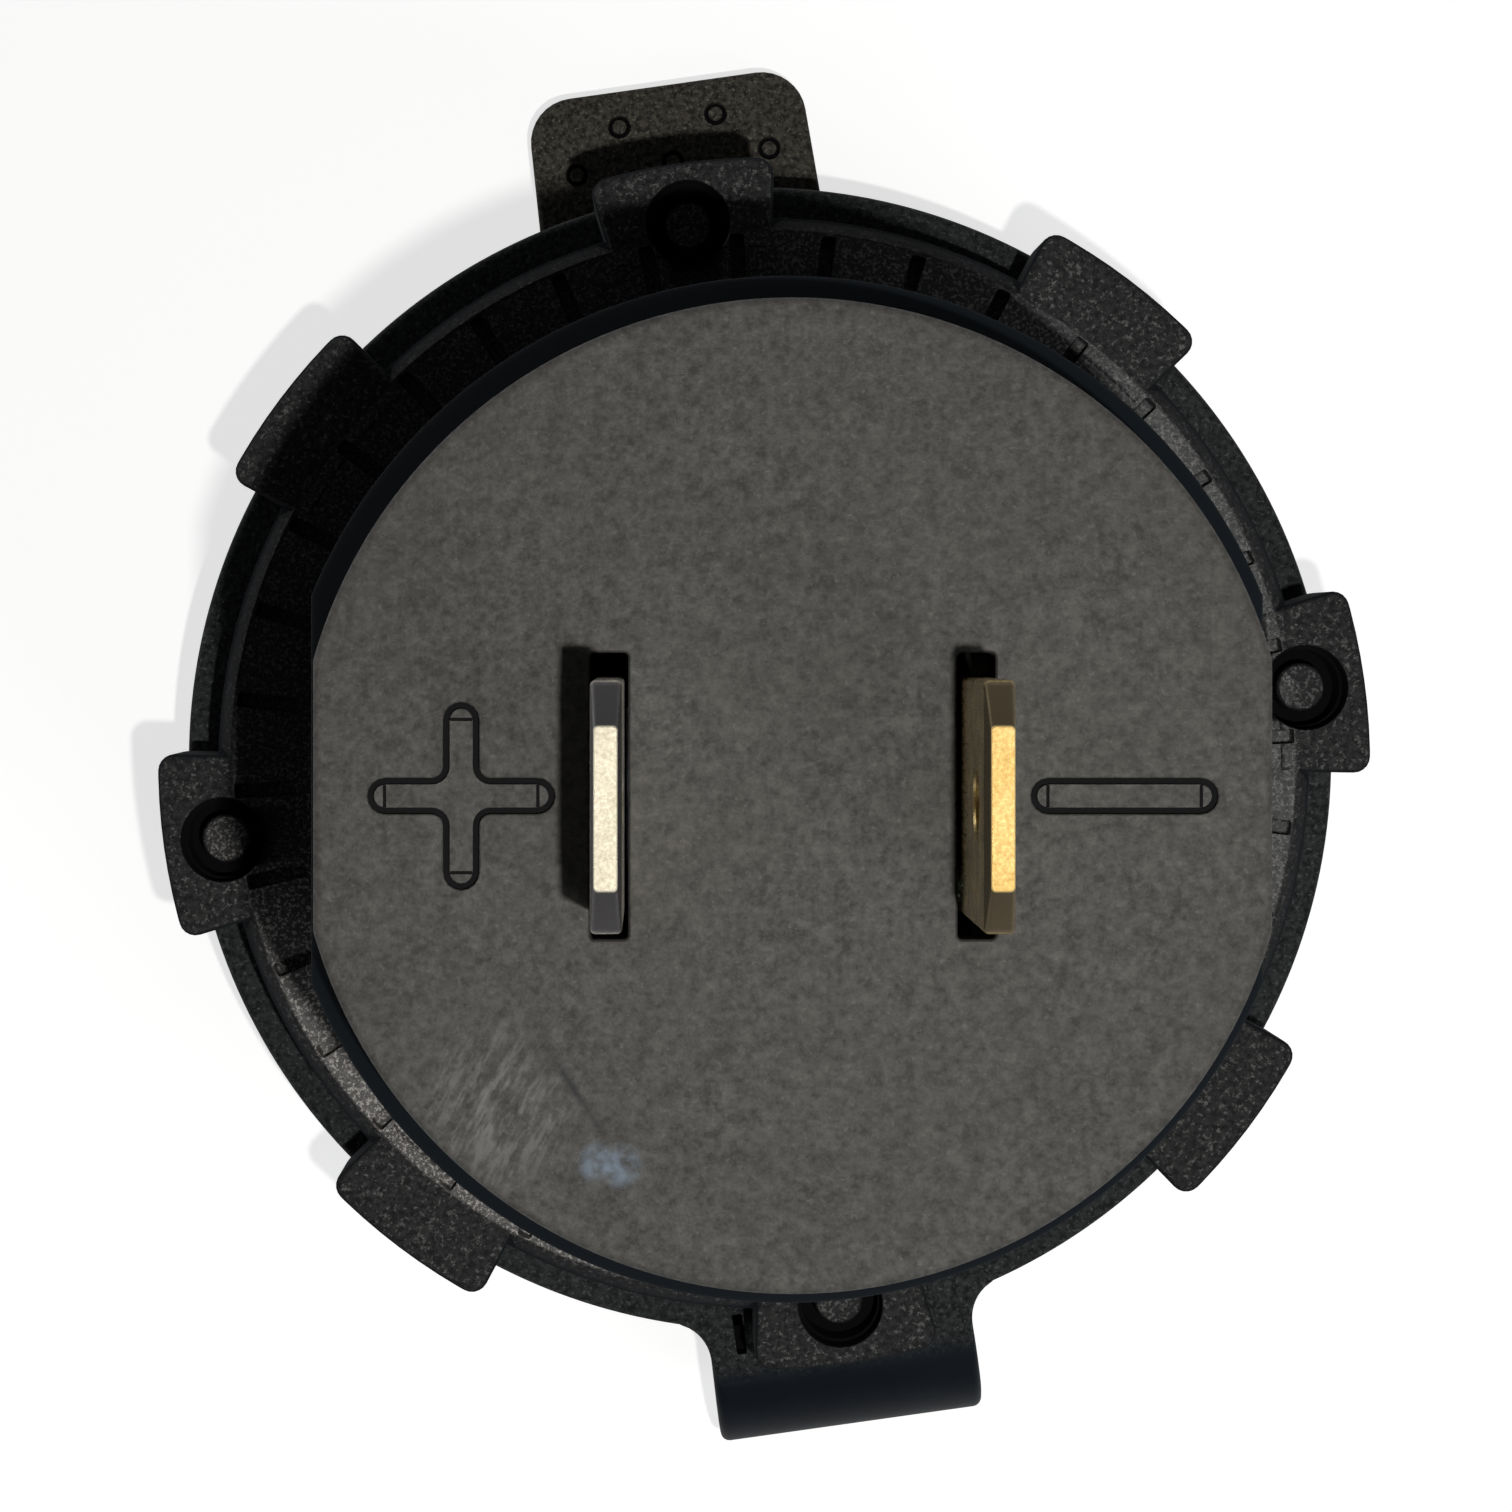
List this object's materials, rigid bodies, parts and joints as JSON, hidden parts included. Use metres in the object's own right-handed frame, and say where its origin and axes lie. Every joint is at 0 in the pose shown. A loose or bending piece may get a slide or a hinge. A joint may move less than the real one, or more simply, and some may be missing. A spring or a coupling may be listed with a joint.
{
  "type": "panel-mount usb power socket",
  "caption": "Round panel-mount USB power socket: threaded barrel with flats, lugged ring nut, blade terminals at the back and a rubber dust cap on a strap.",
  "frame": {"origin": "centre of the closed dust cap's front face, on the barrel's axis, where the part stands", "axes": "+Z along the barrel's axis from the cap to the blade terminals; +X from the plus terminal to the minus terminal, square to the barrel's flats; +Y completes the right-handed frame"},
  "size_m": [0.0406, 0.0491, 0.0475],
  "materials": {
    "housing_nylon": "moulded black nylon, slightly glossy on the thread",
    "nut_nylon": "spark-eroded satin on the lugs, glossier in the dish",
    "washer_plastic": "plain moulded black",
    "cover_plastic": "fine sand-textured dark grey-brown",
    "face_plastic": "fine satin black",
    "clear_acrylic": "polished clear",
    "port_steel": "rolled and tinned",
    "port_plastic": "satin white",
    "contact_gold": "gold flash",
    "board_laminate": "solder resist over woven glass",
    "screw_steel": "zinc plated",
    "led_resin": "clear bluish resin",
    "chip_resin": "moulded black resin",
    "ferrite": "pressed ferrite",
    "copper_wire": "enamelled copper",
    "capacitor_can": "drawn can",
    "fuse_ceramic": "off-white body",
    "solder": "bright solder",
    "blade_nickel": "nickel-plated brass with rolled edges",
    "blade_brass": "bare brass with rolled edges",
    "cap_rubber": "smooth moulded rubber, matte on the tab"
  },
  "bodies": {
    "socket": {"housing": "housing_nylon", "face_plate": "face_plastic", "light_pipe": "clear_acrylic", "usb_shell_upper": "port_steel", "usb_shell_lower": "port_steel", "usb_tongue_upper": "port_plastic", "usb_tongue_lower": "port_plastic", "usb_contacts_upper": "contact_gold", "usb_contacts_lower": "contact_gold", "port_board": "board_laminate", "board_screws": "screw_steel", "indicator_led": "led_resin", "converter_chip": "chip_resin", "header_block": "chip_resin", "header_pins": "contact_gold", "power_board": "board_laminate", "inductor_core": "ferrite", "inductor_winding": "copper_wire", "input_capacitor": "capacitor_can", "output_capacitor": "capacitor_can", "rectifier_diode": "chip_resin", "input_fuse": "fuse_ceramic", "solder_joints": "solder", "rear_cover": "cover_plastic", "terminal_positive": "blade_nickel", "terminal_negative": "blade_brass"},
    "washer": {"slip_washer": "washer_plastic"},
    "nut": {"ring_nut": "nut_nylon"},
    "ring": {"cap_ring": "cap_rubber"},
    "cap": {"cap_lid": "cap_rubber", "cap_strap": "cap_rubber"}
  },
  "joints": [
    {"name": "nut_travel", "type": "slide", "parent": "socket", "child": "washer", "axis": [0, 0, 1], "range_m": [0, 0.023]},
    {"name": "nut_turn", "type": "hinge", "parent": "washer", "child": "nut", "pos_m": [0, 0, 0.0077], "axis": [0, 0, 1], "range_deg": [0, 4140]},
    {"name": "cap_turn", "type": "hinge", "parent": "socket", "child": "ring", "pos_m": [0, 0, 0.0058], "axis": [0, 0, 1], "continuous": true},
    {"name": "cap_flip", "type": "hinge", "parent": "ring", "child": "cap", "pos_m": [0.00331, -0.02352, 0.00375], "axis": [-0.9903, -0.1392, 0], "range_deg": [0, 178], "deforming": ["cap_strap"]}
  ],
  "couplings": [
    {"joint": "nut_travel", "follows": "nut_turn", "m_per_rad": 0.00031831}
  ]
}
